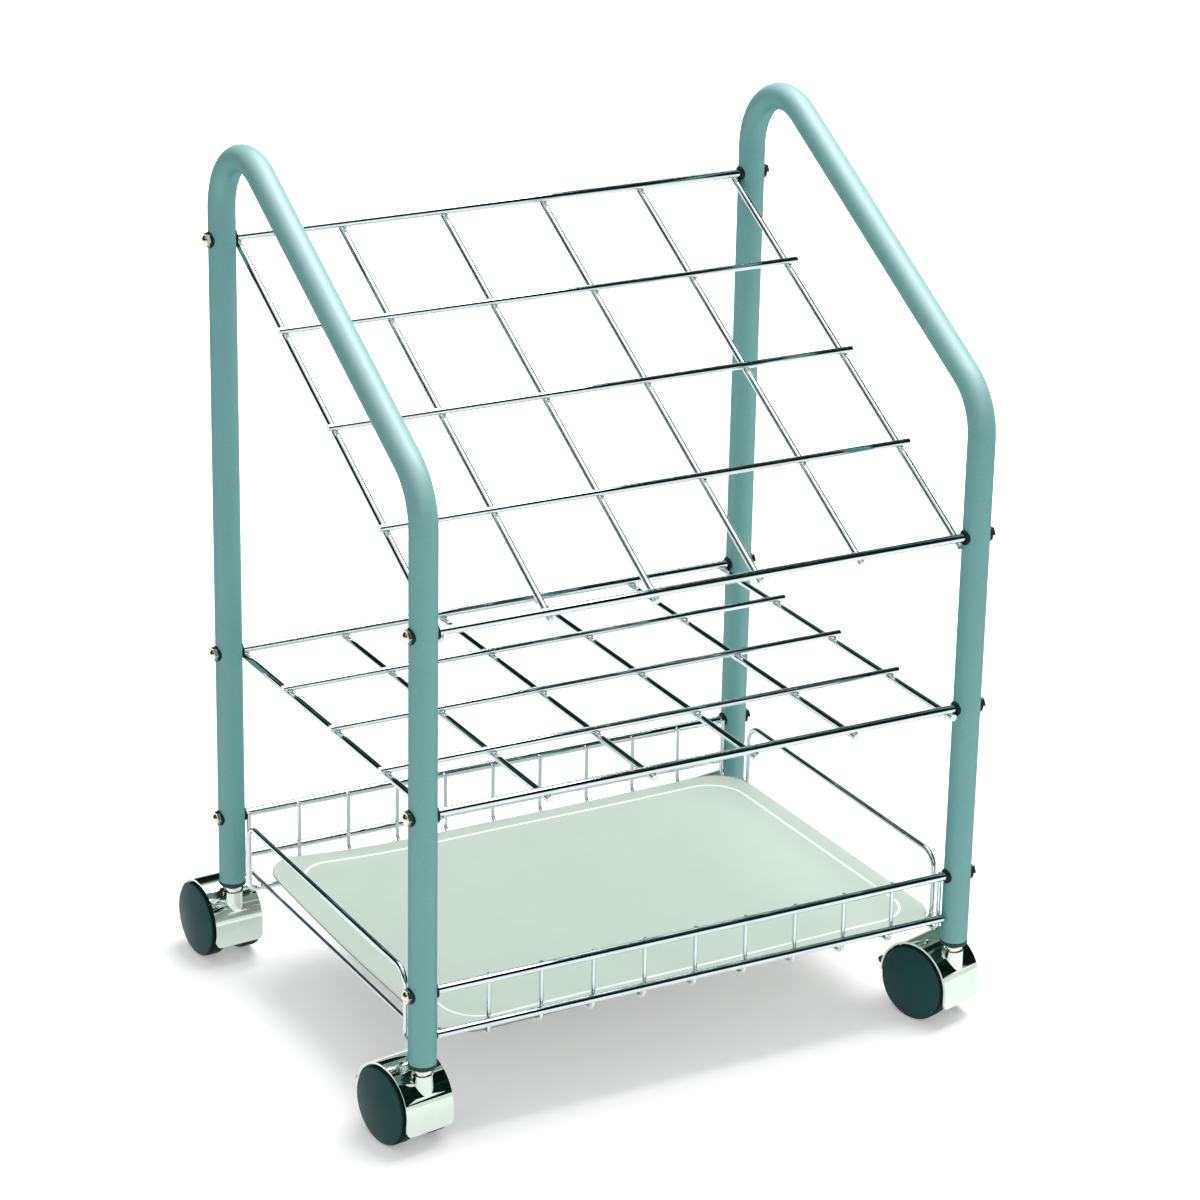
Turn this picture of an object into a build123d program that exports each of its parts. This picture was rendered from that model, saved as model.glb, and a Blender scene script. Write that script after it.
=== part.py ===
from build123d import *
import math
import os

# Rolling file cart for rolled drawings.
# Two bent tube side frames carry a sloped wire shelf, a level wire shelf and a
# wire basket, and stand on four hooded twin-wheel casters.
# Millimetres. X runs across the cart, Y from the front to the rear, Z up.
# The pieces are drawn about a point on the floor midway between the four posts.
# Once all are made, they move together, so that the origin of the finished cart
# lies on the floor under the middle of its outline, swivelled casters included.

# Side frames: one round tube each, bent over the top and down the front
post_spacing_x = 413.0
post_spacing_y = 310.0
tube_dia = 19.0
tube_wall = 1.2
bend_radius = 45.0
slope_angle = 30.0
crest_height = 613.0

# Heights of the tie rod axes above the floor
upper_rear_level = 538.5
upper_front_level = 363.0
middle_level = 238.5
rim_level = 112.5

# Tie rods: a shoulder on the inside of each post, a stud through it
tie_rod_dia = 6.0
tie_rod_chamfer = 0.8
stud_dia = 5.0
stud_clearance = 0.1

# Shelf wires, welded under the tie rods
long_wire_dia = 4.8
cross_wire_dia = 4.8
long_wire_count = 3
cross_wire_count = 6
weld_sink = 0.15
wire_post_gap = 0.1
front_overhang = 3.5
rear_overhang = 3.0
side_overhang = 6.0

# Basket, with drops measured from the axes of its upper rods
lower_rod_drop = 32.5
lower_rod_dia = 5.5
lower_rod_end_gap = 1.0
u_wire_dia = 3.0
u_wire_count = 11
u_wire_corner = 3.5
u_wire_drop = 43.5
u_wire_proud = 0.5
guard_wire_dia = 4.0
guard_post_gap = 2.25
guard_inset_y = 27.0
guard_rise = 3.5
guard_top_bend = 13.0
guard_foot_bend = 6.0
guard_foot_run = 30.0

# Liner: a loose plastic sheet lying on the basket floor against the right guard
liner_width = 390.0
liner_depth = 288.0
liner_thickness = 1.5
liner_corner = 30.0
liner_gap = 0.5
bead_inset = 13.0
bead_side_inset = 17.0
bead_corner = 29.0
bead_width = 2.6
bead_height = 0.4

# Saddle washers and cap nuts on the tie rods
outer_washer_dia = 11.2
outer_washer_crown = 0.4
inner_washer_dia = 10.4
inner_washer_crown = 0.4
nut_across_flats = 9.0
nut_hex_height = 2.6
nut_dome_radius = 3.8
nut_dome_sink = 1.7
nut_bore_depth = 3.2
nut_bore_clearance = 0.05
stud_end_gap = 0.4

# Caster: wheels and axle
wheel_dia = 54.4
wheel_gap = 15.2
wheel_width = 13.9
wheel_dome = 2.6
wheel_shoulder = 2.0
caster_trail = 20.0
axle_dia = 6.0
axle_clearance = 0.08
axle_socket_depth = 8.5
axle_end_gap = 0.3

# Caster: hood, web and stem boss
hood_width = 37.0
hood_wall = 1.6
hood_clearance = 1.1
hood_skirt_drop = 11.7
hood_skirt_corner = 4.0
web_width = 14.4
web_hub_radius = 8.5
web_front_depth = 9.0
hood_foot_gap = 5.6
stem_bore_depth = 21.0
spotface_clearance = 0.6

# Caster stem, collar, grip ring and socket
stem_dia = 8.0
stem_clearance = 0.1
stem_rise = 29.0
stem_end_gap = 0.5
collar_dia = 13.0
collar_height = 5.2
swivel_gap = 0.3
socket_flange_lip = 0.2
socket_flange_height = 3.0
socket_depth = 33.0
socket_clearance = 0.1
socket_chamfer = 0.8
ring_rise = 23.0
ring_height = 1.6
ring_outer_dia = 9.4
ring_groove_dia = 6.8
ring_seat_clearance = 0.1
ring_slot = 2.0

# Brake pedal on each front caster
pedal_width = 28.0
pedal_thickness = 5.0
pedal_reach = 6.5
pedal_rest_angle = 7.0
pedal_travel_angle = 14.0
pedal_arm_width = 11.0
pedal_pivot_radius = 18.5
pedal_pivot_dia = 3.0
pedal_hub_radius = 3.2
pedal_clearance = 0.5
pedal_pin_clearance = 0.06

# Swivel angle of each caster as it stands
front_left_swivel_angle = 9.0
front_right_swivel_angle = 17.0
rear_left_swivel_angle = 4.0
rear_right_swivel_angle = 10.0

# One overrun for every cut that runs out of its solid
overrun = 2.0

# Sizes worked out from those above
post_x = post_spacing_x / 2
post_y = post_spacing_y / 2
tube_radius = tube_dia / 2
tie_rod_radius = tie_rod_dia / 2
stud_radius = stud_dia / 2
stud_hole_radius = stud_radius + stud_clearance
u_wire_radius = u_wire_dia / 2
guard_wire_radius = guard_wire_dia / 2
lower_rod_radius = lower_rod_dia / 2
wheel_radius = wheel_dia / 2
hood_inner_radius = wheel_radius + hood_clearance
hood_outer_radius = hood_inner_radius + hood_wall
boss_radius = web_width / 2
stem_radius = stem_dia / 2
hood_skirt_level = wheel_radius - hood_skirt_drop
foot_height = wheel_radius + hood_outer_radius + hood_foot_gap
collar_top_level = foot_height - socket_flange_height
collar_bottom_level = collar_top_level - collar_height
boss_top_level = collar_bottom_level - swivel_gap
stem_top_level = foot_height + stem_rise
socket_top_level = foot_height + socket_depth
ring_level = foot_height + ring_rise
lower_rod_level = rim_level - lower_rod_drop
u_wire_level = rim_level - u_wire_drop
guard_level = rim_level + guard_rise
guard_x = post_x - guard_post_gap - guard_wire_radius + tie_rod_radius
guard_y = post_y - guard_inset_y

# Where each pair of tie rods crosses the side frames, as (Y, Z)
tie_rod_places = [
    (post_y, upper_rear_level),
    (-post_y, upper_front_level),
    (post_y, middle_level),
    (-post_y, middle_level),
    (post_y, rim_level),
    (-post_y, rim_level),
]

os.makedirs("parts", exist_ok=True)


pieces = []


def keep(piece, label):
    """Name a finished piece and put it with the others."""
    piece.part.label = label
    pieces.append(piece)


# Side frames
# The slope is tangent to the top bend, whose crest gives the height of the cart.
slope = math.radians(slope_angle)
top_bend_centre_z = crest_height - tube_radius - bend_radius
rear_corner_z = top_bend_centre_z + bend_radius * (1 + math.sin(slope)) / math.cos(slope)
front_corner_z = rear_corner_z - post_spacing_y * math.tan(slope)


def side_frame(x):
    with BuildPart() as frame:
        with BuildLine(Plane.YZ.offset(x)) as route:
            FilletPolyline(
                (post_y, foot_height),
                (post_y, rear_corner_z),
                (-post_y, front_corner_z),
                (-post_y, foot_height),
                radius=bend_radius,
            )
        with BuildSketch(Plane(origin=route.line @ 0, z_dir=route.line % 0)):
            Circle(tube_radius)
            Circle(tube_radius - tube_wall, mode=Mode.SUBTRACT)
        sweep()
        with Locations(*[(x, y, z) for y, z in tie_rod_places]):
            Cylinder(stud_hole_radius, tube_dia + overrun, rotation=(0, 90, 0), mode=Mode.SUBTRACT)
    return frame


keep(side_frame(-post_x), "left_side_frame")
keep(side_frame(post_x), "right_side_frame")

# Tie rods
# The thick part ends on the inner washers, and the stud reaches into the nuts.
washer_face = tube_radius + outer_washer_crown
rod_shoulder_x = post_x - tube_radius - inner_washer_crown
stud_end_x = post_x + washer_face + nut_bore_depth - stud_end_gap


def tie_rods(places):
    with BuildPart() as rods:
        with Locations(*[(0, y, z) for y, z in places]):
            Cylinder(tie_rod_radius, 2 * rod_shoulder_x, rotation=(0, 90, 0))
        chamfer(rods.edges().filter_by(GeomType.CIRCLE), tie_rod_chamfer)
        with Locations(*[(0, y, z) for y, z in places]):
            Cylinder(stud_radius, 2 * stud_end_x, rotation=(0, 90, 0))
    return rods


keep(tie_rods(tie_rod_places[0:2]), "upper_shelf_tie_rods")
keep(tie_rods(tie_rod_places[2:4]), "middle_shelf_tie_rods")
keep(tie_rods(tie_rod_places[4:6]), "basket_tie_rods")

# Shelf wires
# Cross wires run front to rear under the tie rods, and long wires lie on them.
# The outermost wires stand just inside the washers on the posts.
washer_inner_x = post_x - tube_radius - inner_washer_crown
cross_wire_reach = washer_inner_x - wire_post_gap - cross_wire_dia / 2
cross_wire_pitch = 2 * cross_wire_reach / (cross_wire_count - 1)
cross_wire_drop = tie_rod_radius + cross_wire_dia / 2 - weld_sink
long_wire_drop = cross_wire_drop - cross_wire_dia / 2 - long_wire_dia / 2 + weld_sink
long_wire_length = 2 * (cross_wire_reach + side_overhang)


def shelf_wires(front_level, rear_level, name):
    rise = rear_level - front_level
    depth = math.hypot(post_spacing_y, rise)
    shelf = Plane(
        origin=(0, 0, (front_level + rear_level) / 2),
        x_dir=(1, 0, 0),
        z_dir=(0, -rise, post_spacing_y),
    )
    wire_length = depth + front_overhang + rear_overhang
    wire_centre = (rear_overhang - front_overhang) / 2
    with BuildPart(shelf) as cross_wires:
        with Locations((0, wire_centre, -cross_wire_drop)):
            with GridLocations(cross_wire_pitch, depth, cross_wire_count, 1):
                Cylinder(cross_wire_dia / 2, wire_length, rotation=(90, 0, 0))
    keep(cross_wires, name + "_cross_wires")
    with BuildPart(shelf) as long_wires:
        with Locations((0, 0, -long_wire_drop)):
            with GridLocations(cross_wire_pitch, depth / (long_wire_count + 1), 1, long_wire_count):
                Cylinder(long_wire_dia / 2, long_wire_length, rotation=(0, 90, 0))
    keep(long_wires, name + "_long_wires")


shelf_wires(upper_front_level, upper_rear_level, "upper_shelf")
shelf_wires(middle_level, middle_level, "middle_shelf")

# Basket wires
# The legs of the U wires stand inside both pairs of rods and are welded to them.
u_leg_y = post_y - tie_rod_radius - u_wire_radius + weld_sink
u_leg_top = rim_level + tie_rod_radius + u_wire_proud
u_wire_reach = washer_inner_x - wire_post_gap - u_wire_radius
u_wire_pitch = 2 * u_wire_reach / (u_wire_count - 1)
lower_rod_y = u_leg_y + u_wire_radius + lower_rod_radius - weld_sink
lower_rod_length = 2 * (post_x - tube_radius - lower_rod_end_gap)

# Each bend is one short slant that stands for the tight curve of the wire.
with BuildPart() as u_wire:
    with BuildLine(Plane.YZ) as u_route:
        Polyline(
            (-u_leg_y, u_leg_top),
            (-u_leg_y, u_wire_level + u_wire_corner),
            (-u_leg_y + u_wire_corner, u_wire_level),
            (u_leg_y - u_wire_corner, u_wire_level),
            (u_leg_y, u_wire_level + u_wire_corner),
            (u_leg_y, u_leg_top),
        )
    with BuildSketch(Plane(origin=u_route.line @ 0, z_dir=u_route.line % 0)):
        Circle(u_wire_radius)
    sweep(transition=Transition.RIGHT)

with BuildPart() as basket_u_wires:
    with GridLocations(u_wire_pitch, u_wire_pitch, u_wire_count, 1):
        add(u_wire.part)
keep(basket_u_wires, "basket_u_wires")

with BuildPart() as basket_lower_rods:
    with Locations((0, -lower_rod_y, lower_rod_level), (0, lower_rod_y, lower_rod_level)):
        Cylinder(lower_rod_radius, lower_rod_length, rotation=(0, 90, 0))
keep(basket_lower_rods, "basket_lower_rods")

# Guards: a wire hoop over each open end of the basket
# Its feet turn inwards and butt against two wires under the U wires.
guard_foot_level = u_wire_level - u_wire_radius - guard_wire_radius + weld_sink
guard_foot_x = guard_x - guard_foot_run


def side_guard(side):
    with BuildPart() as guard:
        with BuildLine() as hoop:
            FilletPolyline(
                (side * guard_foot_x, -guard_y, guard_foot_level),
                (side * guard_x, -guard_y, guard_foot_level),
                (side * guard_x, -guard_y, guard_level),
                (side * guard_x, guard_y, guard_level),
                (side * guard_x, guard_y, guard_foot_level),
                (side * guard_foot_x, guard_y, guard_foot_level),
                radius=[guard_foot_bend, guard_top_bend, guard_top_bend, guard_foot_bend],
            )
        with BuildSketch(Plane(origin=hoop.line @ 0, z_dir=hoop.line % 0)):
            Circle(guard_wire_radius)
        sweep()
    return guard


keep(side_guard(-1), "basket_left_guard")
keep(side_guard(1), "basket_right_guard")

with BuildPart() as basket_bottom_wires:
    with Locations((0, -guard_y, guard_foot_level), (0, guard_y, guard_foot_level)):
        Cylinder(guard_wire_radius, 2 * guard_foot_x, rotation=(0, 90, 0))
keep(basket_bottom_wires, "basket_bottom_wires")

# Liner
# The sheet lies on the U wires and touches the right guard with its edge.
liner_x = guard_x - guard_wire_radius - liner_gap - liner_width / 2
liner_level = u_wire_level + u_wire_radius
bead_level = liner_level + liner_thickness

with BuildPart() as liner:
    with BuildSketch(Plane.XY.offset(liner_level)):
        with Locations((liner_x, 0)):
            RectangleRounded(liner_width, liner_depth, liner_corner)
    extrude(amount=liner_thickness)
    with BuildSketch(Plane.XY.offset(bead_level)):
        with Locations((liner_x, 0)):
            RectangleRounded(
                liner_width - 2 * bead_side_inset,
                liner_depth - 2 * bead_inset,
                bead_corner,
            )
            RectangleRounded(
                liner_width - 2 * bead_side_inset - 2 * bead_width,
                liner_depth - 2 * bead_inset - 2 * bead_width,
                bead_corner - bead_width,
                mode=Mode.SUBTRACT,
            )
    extrude(amount=bead_height)
keep(liner, "liner")


# Washers and nuts
# Each is made once with the post axis as its own Z at the origin, facing +X.
def saddle_washer(washer_dia, crown):
    with BuildPart() as washer:
        with BuildSketch(Plane.YZ):
            Circle(washer_dia / 2)
            Circle(stud_hole_radius, mode=Mode.SUBTRACT)
        extrude(amount=tube_radius + crown)
        Cylinder(tube_radius, washer_dia + overrun, mode=Mode.SUBTRACT)
    return washer


with BuildPart() as acorn_nut:
    with BuildSketch(Plane.YZ.offset(washer_face)):
        RegularPolygon(nut_across_flats / 2, 6, major_radius=False)
    extrude(amount=nut_hex_height)
    with Locations((washer_face + nut_hex_height - nut_dome_sink, 0, 0)):
        Sphere(nut_dome_radius, rotation=(0, 90, 0))
    split(bisect_by=Plane.YZ.offset(washer_face), keep=Keep.TOP)
    with BuildSketch(Plane.YZ.offset(washer_face)):
        Circle(stud_radius + nut_bore_clearance)
    extrude(amount=nut_bore_depth, mode=Mode.SUBTRACT)


def on_every_post(piece, turn, label):
    with BuildPart() as group:
        for y, z in tie_rod_places:
            with Locations(Location((post_x, y, z), (0, 0, turn))):
                add(piece.part)
            with Locations(Location((-post_x, y, z), (0, 0, turn + 180))):
                add(piece.part)
    keep(group, label)


on_every_post(saddle_washer(outer_washer_dia, outer_washer_crown), 0, "outer_saddle_washers")
on_every_post(saddle_washer(inner_washer_dia, inner_washer_crown), 180, "inner_saddle_washers")
on_every_post(acorn_nut, 0, "acorn_nuts")

# Caster pieces
# Each is made once with the stem axis on Z, the axle along X and the wheels
# trailing towards +Y, and is then turned and set under its post.

# Hood: a band over the wheels, a web between them and a boss for the stem
with BuildPart() as plain_hood:
    with BuildSketch(Plane.YZ) as band_profile:
        with Locations((caster_trail, wheel_radius)):
            Circle(hood_outer_radius)
            with Locations((0, -hood_outer_radius)):
                Rectangle(2 * hood_outer_radius, 2 * hood_outer_radius, mode=Mode.SUBTRACT)
        with Locations((caster_trail - hood_outer_radius, hood_skirt_level)):
            Rectangle(
                hood_outer_radius, wheel_radius - hood_skirt_level, align=(Align.MIN, Align.MIN)
            )
        with Locations((caster_trail, wheel_radius)):
            Circle(hood_inner_radius, mode=Mode.SUBTRACT)
        with Locations((caster_trail - hood_inner_radius, hood_skirt_level)):
            Rectangle(
                hood_outer_radius,
                wheel_radius - hood_skirt_level,
                align=(Align.MIN, Align.MIN),
                mode=Mode.SUBTRACT,
            )
    extrude(amount=hood_width / 2, both=True)
    skirt_edges = plain_hood.edges().filter_by(Axis.Y).group_by(Axis.Z)[0]
    fillet(skirt_edges, hood_skirt_corner)
    with BuildSketch(Plane.YZ):
        with Locations((caster_trail, wheel_radius)):
            Circle(hood_inner_radius)
            with Locations((0, -hood_inner_radius)):
                Rectangle(2 * hood_inner_radius, 2 * hood_inner_radius, mode=Mode.SUBTRACT)
            Circle(web_hub_radius)
        with Locations((caster_trail - hood_inner_radius, wheel_radius - web_front_depth)):
            Rectangle(hood_inner_radius, web_front_depth, align=(Align.MIN, Align.MIN))
    extrude(amount=web_width / 2, both=True)
    with BuildSketch(Plane.XY.offset(wheel_radius)):
        Circle(boss_radius)
    extrude(amount=boss_top_level - wheel_radius)
    with BuildSketch(Plane.XY.offset(boss_top_level)):
        Circle(collar_dia / 2 + spotface_clearance)
    extrude(amount=hood_outer_radius, mode=Mode.SUBTRACT)
    with BuildSketch(Plane.XY.offset(boss_top_level)):
        Circle(stem_radius + stem_clearance)
    extrude(amount=-stem_bore_depth, mode=Mode.SUBTRACT)
    with Locations((0, caster_trail, wheel_radius)):
        Cylinder(
            axle_dia / 2 + axle_clearance,
            web_width + overrun,
            rotation=(0, 90, 0),
            mode=Mode.SUBTRACT,
        )

# Axle, and one wheel with its closed, domed face towards +X
wheel_inner_x = wheel_gap / 2
axle_length = 2 * (wheel_inner_x + axle_socket_depth - axle_end_gap)

with BuildPart() as axle:
    with Locations((0, caster_trail, wheel_radius)):
        Cylinder(axle_dia / 2, axle_length, rotation=(0, 90, 0))

axle_plane = Plane(origin=(0, caster_trail, wheel_radius), x_dir=(1, 0, 0), z_dir=(0, -1, 0))
wheel_rim_radius = wheel_radius - wheel_shoulder
wheel_rim_x = wheel_inner_x + wheel_width
dome_radius = (wheel_rim_radius**2 + wheel_dome**2) / (2 * wheel_dome)
dome_centre_x = wheel_rim_x + wheel_dome - dome_radius
dome_half_turn = math.asin(wheel_rim_radius / dome_radius) / 2
with BuildPart() as wheel:
    with BuildSketch(axle_plane):
        with BuildLine():
            Polyline(
                (wheel_inner_x + axle_socket_depth, 0),
                (wheel_inner_x + axle_socket_depth, axle_dia / 2 + axle_clearance),
                (wheel_inner_x, axle_dia / 2 + axle_clearance),
                (wheel_inner_x, wheel_rim_radius),
                (wheel_inner_x + wheel_shoulder, wheel_radius),
                (wheel_rim_x - wheel_shoulder, wheel_radius),
                (wheel_rim_x, wheel_rim_radius),
            )
            ThreePointArc(
                (wheel_rim_x, wheel_rim_radius),
                (
                    dome_centre_x + dome_radius * math.cos(dome_half_turn),
                    dome_radius * math.sin(dome_half_turn),
                ),
                (wheel_rim_x + wheel_dome, 0),
            )
            Line((wheel_rim_x + wheel_dome, 0), (wheel_inner_x + axle_socket_depth, 0))
        make_face()
    revolve(axis=Axis((0, caster_trail, wheel_radius), (1, 0, 0)))

# Stem with its collar, fixed in the socket; the hood swivels on its lower end
with BuildPart() as stem:
    stem_foot_level = boss_top_level - stem_bore_depth + stem_end_gap
    with BuildSketch(Plane.XY.offset(stem_foot_level)):
        Circle(stem_radius)
    extrude(amount=stem_top_level - stem_foot_level)
    with BuildSketch(Plane.XY.offset(collar_bottom_level)):
        Circle(collar_dia / 2)
    extrude(amount=collar_top_level - collar_bottom_level)
    with BuildSketch(Plane.XY.offset(ring_level)):
        Circle(stem_radius + overrun)
        Circle(ring_groove_dia / 2, mode=Mode.SUBTRACT)
    extrude(amount=ring_height + ring_seat_clearance, mode=Mode.SUBTRACT)

# Split grip ring in the stem's groove
with BuildPart() as grip_ring:
    with BuildSketch(Plane.XY.offset(ring_level)):
        Circle(ring_outer_dia / 2)
        Circle(ring_groove_dia / 2 + ring_seat_clearance, mode=Mode.SUBTRACT)
        with Locations((0, ring_outer_dia / 2)):
            Rectangle(ring_slot, ring_outer_dia, mode=Mode.SUBTRACT)
    extrude(amount=ring_height)

# Plastic socket in the foot of the tube, with a flange under the tube's end
with BuildPart() as socket:
    with BuildSketch(Plane.XY.offset(collar_top_level)):
        Circle(tube_radius + socket_flange_lip)
    extrude(amount=socket_flange_height)
    with BuildSketch(Plane.XY.offset(foot_height)):
        Circle(tube_radius - tube_wall - socket_clearance)
    extrude(amount=socket_top_level - foot_height)
    chamfer(socket.faces().sort_by(Axis.Z)[-1].edges(), socket_chamfer)
    with BuildSketch(Plane.XY.offset(collar_top_level)):
        Circle(stem_radius + stem_clearance)
    extrude(amount=socket_top_level - collar_top_level + overrun, mode=Mode.SUBTRACT)
    with BuildSketch(Plane.XY.offset(ring_level - ring_seat_clearance)):
        Circle(ring_outer_dia / 2 + ring_seat_clearance)
    extrude(amount=ring_height + 2 * ring_seat_clearance, mode=Mode.SUBTRACT)

# Brake pedal, its pin, and the pocket and slot it moves in
# It is drawn along +Y from its pivot and then tilted up to its rest angle.
pedal_tilt = math.radians(pedal_rest_angle)
pedal_pivot = (
    0,
    caster_trail + pedal_pivot_radius * math.cos(pedal_tilt),
    wheel_radius + pedal_pivot_radius * math.sin(pedal_tilt),
)
pedal_plane = Plane(
    origin=pedal_pivot,
    x_dir=(0, math.cos(pedal_tilt), math.sin(pedal_tilt)),
    z_dir=(1, 0, 0),
)
pedal_tab_start = hood_inner_radius - pedal_pivot_radius
pedal_tip = hood_outer_radius + pedal_reach - pedal_pivot_radius

with BuildPart() as pedal:
    with BuildSketch(pedal_plane):
        Circle(pedal_hub_radius)
        Rectangle(pedal_tip - pedal_thickness, pedal_thickness, align=(Align.MIN, Align.CENTER))
        Circle(pedal_pivot_dia / 2 + pedal_pin_clearance, mode=Mode.SUBTRACT)
    extrude(amount=pedal_arm_width / 2, both=True)
    with BuildSketch(pedal_plane):
        with Locations((pedal_tab_start, 0)):
            Rectangle(
                pedal_tip - pedal_tab_start - pedal_thickness / 2,
                pedal_thickness,
                align=(Align.MIN, Align.CENTER),
            )
        with Locations((pedal_tip - pedal_thickness / 2, 0)):
            Circle(pedal_thickness / 2)
    extrude(amount=pedal_width / 2, both=True)

with BuildPart() as pedal_pin:
    with BuildSketch(pedal_plane):
        Circle(pedal_pivot_dia / 2)
    extrude(amount=web_width / 2, both=True)

pedal_half_slot = pedal_thickness / 2 + pedal_clearance
pedal_swept_end = pedal_tip + overrun
pedal_sweep = math.radians(pedal_travel_angle)
with BuildPart() as braked_hood:
    add(plain_hood.part)
    with BuildSketch(pedal_plane) as pocket_profile:
        Circle(pedal_hub_radius + pedal_clearance)
        Polygon(
            (0, pedal_half_slot),
            (pedal_swept_end, pedal_half_slot),
            (
                pedal_swept_end * math.cos(pedal_sweep) - pedal_half_slot * math.sin(pedal_sweep),
                -pedal_swept_end * math.sin(pedal_sweep) - pedal_half_slot * math.cos(pedal_sweep),
            ),
            (
                -pedal_half_slot * math.sin(pedal_sweep),
                -pedal_half_slot * math.cos(pedal_sweep),
            ),
            align=None,
        )
    extrude(amount=pedal_arm_width / 2 + pedal_clearance, both=True, mode=Mode.SUBTRACT)
    with BuildSketch(pedal_plane):
        add(pocket_profile.sketch_local)
        with Locations((-overrun, 0)):
            Rectangle(
                2 * (pedal_tab_start - pedal_clearance),
                hood_outer_radius,
                mode=Mode.SUBTRACT,
            )
    extrude(amount=pedal_width / 2 + pedal_clearance, both=True, mode=Mode.SUBTRACT)
    with BuildSketch(pedal_plane):
        Circle(pedal_pivot_dia / 2)
    extrude(amount=web_width / 2, both=True, mode=Mode.SUBTRACT)


# Casters in their places
def placed(piece, spot, label):
    with BuildPart() as copy_of_piece:
        with Locations(spot):
            add(piece.part)
    keep(copy_of_piece, label)


corners = {
    "front_left": (-post_x, -post_y, front_left_swivel_angle),
    "front_right": (post_x, -post_y, front_right_swivel_angle),
    "rear_left": (-post_x, post_y, rear_left_swivel_angle),
    "rear_right": (post_x, post_y, rear_right_swivel_angle),
}

with BuildPart() as stem_grip_rings:
    with Locations(*[(x, y, 0) for x, y, swivel in corners.values()]):
        add(grip_ring.part)
keep(stem_grip_rings, "stem_grip_rings")

for corner, (x, y, swivel) in corners.items():
    spot = Location((x, y, 0), (0, 0, swivel))
    braked = corner.startswith("front")
    placed(socket, spot, corner + "_stem_socket")
    placed(stem, spot, corner + "_caster_stem")
    placed(braked_hood if braked else plain_hood, spot, corner + "_caster_hood")
    placed(axle, spot, corner + "_caster_axle")
    placed(wheel, spot, corner + "_caster_right_wheel")
    across = Location((0, 2 * caster_trail, 0), (0, 0, 180))
    placed(wheel, spot * across, corner + "_caster_left_wheel")
    if braked:
        placed(pedal, spot, corner + "_brake_pedal")
        placed(pedal_pin, spot, corner + "_brake_pin")

# Outline
# The middle of the outline becomes the origin, and each piece is written to its file.
boxes = [piece.part.bounding_box() for piece in pieces]
centre_x = (min(box.min.X for box in boxes) + max(box.max.X for box in boxes)) / 2
centre_y = (min(box.min.Y for box in boxes) + max(box.max.Y for box in boxes)) / 2
print(f"origin {centre_x:.3f} {centre_y:.3f} mm from the middle of the posts")
for piece in pieces:
    centred = piece.part.moved(Location((-centre_x, -centre_y, 0)))
    centred.label = piece.part.label
    export_step(centred, f"parts/{centred.label}.step")
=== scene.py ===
# %% [markdown]
# # A rolling file cart
# This lesson dresses a finished CAD model of an open wire cart: two bent tubes,
# two wire shelves, a wire basket with a liner, and four twin-wheel casters.
# The CAD model is loaded as a fixed frame. It is already in metres and in its
# place, so nothing is scaled or moved here. What is left for Blender is what a
# CAD file doesn't hold: finishes, fine roundings, light and a camera.

# %% Load the frame
import math

import bmesh
import bpy
from mathutils import Matrix, Vector


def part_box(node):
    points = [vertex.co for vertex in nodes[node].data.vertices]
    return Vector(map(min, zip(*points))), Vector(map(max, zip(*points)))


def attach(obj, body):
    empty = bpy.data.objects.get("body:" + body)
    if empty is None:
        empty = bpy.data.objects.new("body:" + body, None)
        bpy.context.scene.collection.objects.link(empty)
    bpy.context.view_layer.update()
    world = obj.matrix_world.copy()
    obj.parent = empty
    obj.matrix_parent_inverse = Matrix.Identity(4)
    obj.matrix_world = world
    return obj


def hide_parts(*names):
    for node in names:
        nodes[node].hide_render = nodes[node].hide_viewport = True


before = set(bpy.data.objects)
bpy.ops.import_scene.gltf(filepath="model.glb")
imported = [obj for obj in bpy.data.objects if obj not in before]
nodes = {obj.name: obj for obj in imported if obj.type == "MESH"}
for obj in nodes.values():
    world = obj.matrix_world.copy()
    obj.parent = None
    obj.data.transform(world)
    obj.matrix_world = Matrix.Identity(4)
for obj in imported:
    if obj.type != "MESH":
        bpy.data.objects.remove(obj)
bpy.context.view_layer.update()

MM = 0.001

# %% [markdown]
# ## Reading places off the frame
# Where a piece goes is read from the CAD nodes, so the dressed cart follows the
# model if it is built again. The four casters' sockets mark the four posts. A
# swivelled caster is turned about its socket, and its axle tells by how much.

# %% Where the posts are
CORNERS = ["front_left", "front_right", "rear_left", "rear_right"]


def middle(node):
    low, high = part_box(node)
    return (low + high) / 2


posts = {c: middle(f"{c}_stem_socket") for c in CORNERS}
cart_x = (posts["front_left"].x + posts["front_right"].x) / 2
cart_y = (posts["front_left"].y + posts["rear_left"].y) / 2
swivel = {}
for c in CORNERS:
    toward = middle(f"{c}_caster_axle") - posts[c]
    swivel[c] = math.atan2(-toward.x, toward.y)
print("posts, mm:", {c: (round(p.x / MM, 1), round(p.y / MM, 1)) for c, p in posts.items()})
print("swivels:", {c: round(math.degrees(a), 1) for c, a in swivel.items()})

# %% [markdown]
# ## The camera
# The camera stands where the photographer stood: to the left of the cart and a
# little above it, far away, with a long lens, so that upright tubes stay nearly
# parallel. Its place is given as an azimuth, an elevation and a distance from a
# point on the cart, which is easier to adjust than three coordinates.

# %% Set up the camera
azimuth, elevation, roll = (math.radians(a) for a in (-28.77, 21.23, 1.13))
aim_height, aim_aside, aim_above = 238.5 * MM, 3.63 * MM, 54.4 * MM
camera_distance = 2742.3 * MM
sensor_mm, lens_mm = 36, 118.88
nearest, farthest = 0.05, 60


def add_object(name, data):
    """A new object of the scene that holds the given mesh, lamp or camera."""
    made = bpy.data.objects.new(name, data)
    bpy.context.scene.collection.objects.link(made)
    return made


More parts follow.
